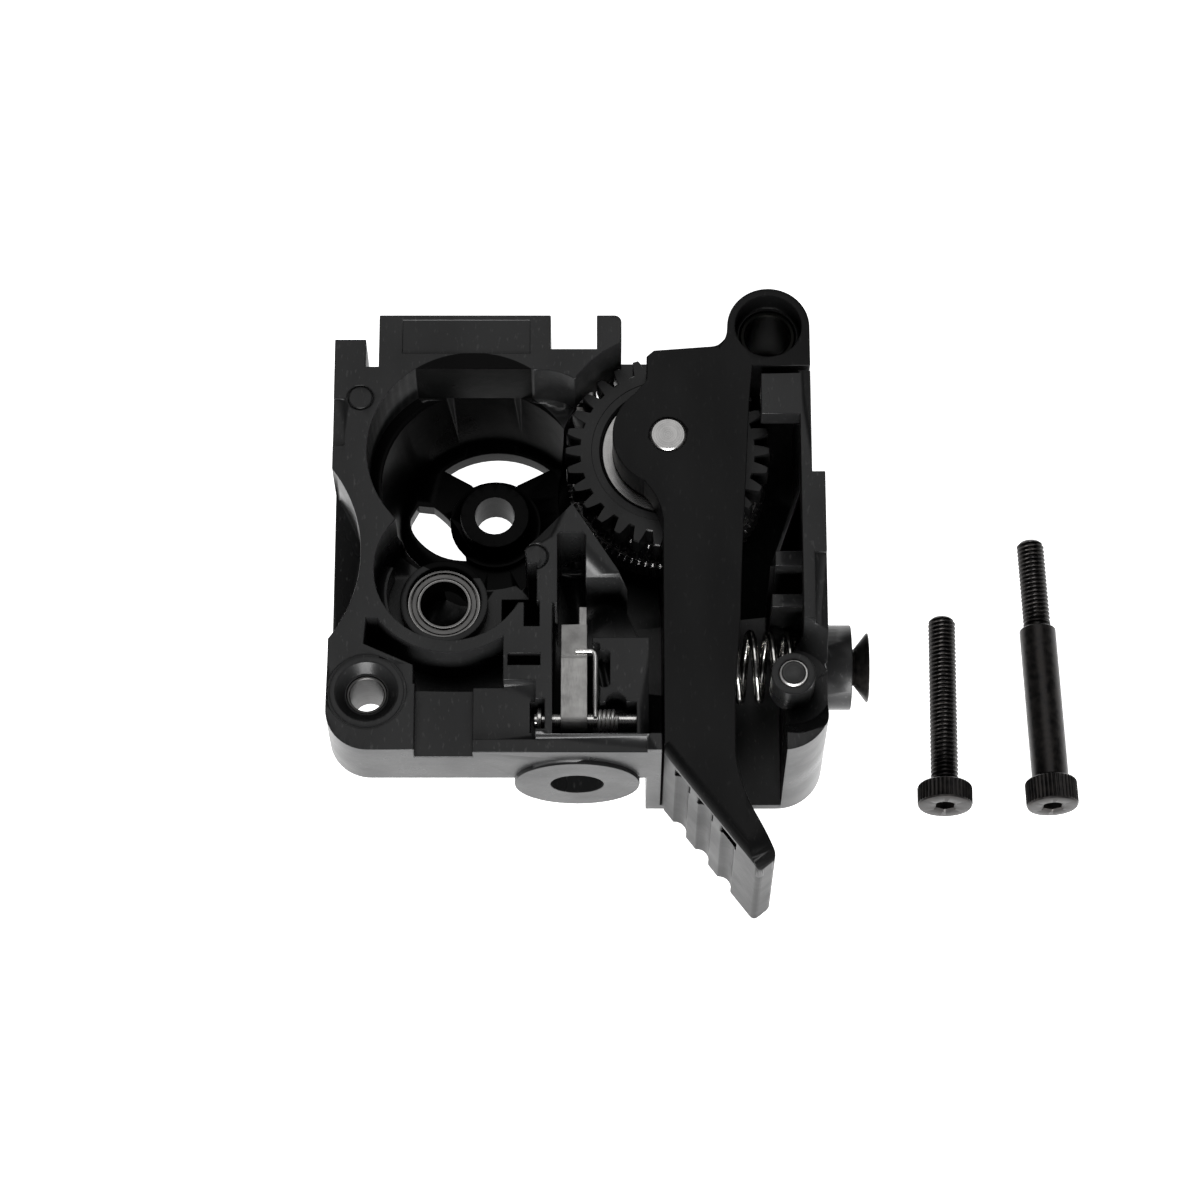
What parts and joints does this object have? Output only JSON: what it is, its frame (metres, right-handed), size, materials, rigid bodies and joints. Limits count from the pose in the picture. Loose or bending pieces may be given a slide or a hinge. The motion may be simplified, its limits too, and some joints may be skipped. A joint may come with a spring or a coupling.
{
  "type": "extruder gear assembly",
  "caption": "Black moulded extruder housing with a sprung tension arm and idler gear, adjusting spring and screw, sprung steel lever and loose mounting screws.",
  "frame": {"origin": "on the back face of the housing, behind the filament path, level with the front slot that holds the sprung lever", "axes": "+X from the drive side to the tension screw, +Y along the filament path towards its inlet, +Z out of the open front"},
  "size_m": [0.0809, 0.066, 0.0203],
  "materials": {
    "black_plastic": "glass-filled moulded plastic, fine satin grain",
    "gear_plastic": "smooth acetal, semi-matt",
    "steel": "ground and turned steel",
    "sheet_steel": "bright rolled sheet and wire",
    "spring_steel": "oil-tempered wire",
    "black_steel": "black oxide"
  },
  "bodies": {
    "housing": {"housing": "black_plastic", "bearing_outer_ring": "steel", "bearing_cage": "steel", "bearing_shield": "steel", "lever_pin": "steel", "pin_clip": "sheet_steel", "mount_sleeve": "steel", "guide_pin": "black_steel", "outlet_insert": "steel", "inlet_insert": "steel", "tension_nut": "black_steel", "spring_cup": "black_steel"},
    "arm": {"arm": "black_plastic", "idler_axle": "steel", "pivot_bushing": "black_steel", "thrust_washer_front": "steel", "thrust_washer_rear": "steel", "tension_spring": "spring_steel"},
    "idler": {"idler_gear": "gear_plastic", "hob_wheel": "steel", "needle_bearing_front": "steel", "needle_bearing_rear": "steel"},
    "bearing_inner": {"bearing_inner_ring": "steel"},
    "lever": {"filament_lever": "sheet_steel", "torsion_spring": "sheet_steel"},
    "tension_screw": {"tension_screw": "black_steel"},
    "mount_screw": {"mount_screw": "black_steel"},
    "shoulder_screw": {"shoulder_screw": "black_steel"}
  },
  "joints": [
    {"name": "arm_pivot", "type": "hinge", "parent": "housing", "child": "arm", "pos_m": [0.0208, 0.032, 0.01], "axis": [0, 0, 1], "range_deg": [0, 4.5], "stiffness_Nm_per_rad": 0.3, "springref_deg": -14.32, "deforming": ["tension_spring"]},
    {"name": "idler_spin", "type": "hinge", "parent": "arm", "child": "idler", "pos_m": [0.0098, 0.0192, 0.01], "axis": [0, 0, 1], "continuous": true},
    {"name": "bearing_spin", "type": "hinge", "parent": "housing", "child": "bearing_inner", "pos_m": [-0.0145, 0.0033, 0.0088], "axis": [0, 0, 1], "continuous": true},
    {"name": "lever_pivot", "type": "hinge", "parent": "housing", "child": "lever", "pos_m": [0, -0.01275, 0.0176], "axis": [1, 0, 0], "range_deg": [0, 25], "stiffness_Nm_per_rad": 0.0005, "springref_deg": -57.3},
    {"name": "tension_screw_turn", "type": "hinge", "parent": "housing", "child": "tension_screw", "pos_m": [0.0285, -0.004, 0.01], "axis": [1, 0, 0], "continuous": true},
    {"name": "mount_screw_lift", "type": "slide", "parent": "housing", "child": "mount_screw", "axis": [0, 0, 1], "range_m": [0, 0.03]},
    {"name": "shoulder_screw_lift", "type": "slide", "parent": "housing", "child": "shoulder_screw", "axis": [0, 0, 1], "range_m": [0, 0.03]}
  ]
}
